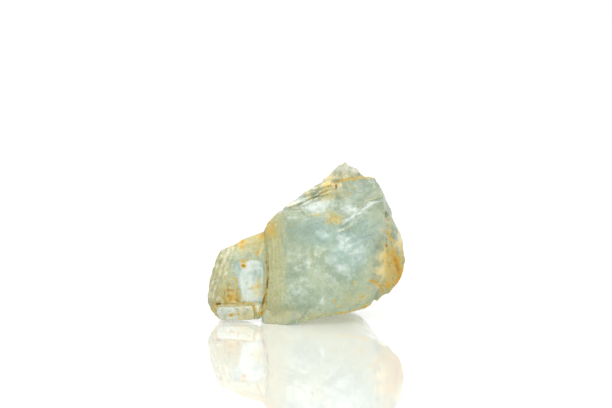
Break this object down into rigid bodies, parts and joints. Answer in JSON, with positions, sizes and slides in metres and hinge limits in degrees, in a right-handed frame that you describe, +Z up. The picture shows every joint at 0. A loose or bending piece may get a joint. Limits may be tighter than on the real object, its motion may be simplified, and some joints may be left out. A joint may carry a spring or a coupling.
{
  "type": "rough topaz",
  "caption": "Rough pale blue-green topaz fragment with cleavage steps, an iron-stained fissure and broken faces, standing on a small flat spot.",
  "frame": {"origin": "under the middle of the stone's box, on the surface it stands on", "axes": "+Z up; +X to the right along the stone's longest extent; the pictured face looks along -Y"},
  "size_m": [0.036, 0.0196, 0.0286],
  "materials": {
    "topaz": "translucent pale blue-green, vitreous on fresh breaks, frosted and iron-stained elsewhere"
  },
  "bodies": {
    "root": {"rough_topaz": "topaz"}
  },
  "joints": []
}
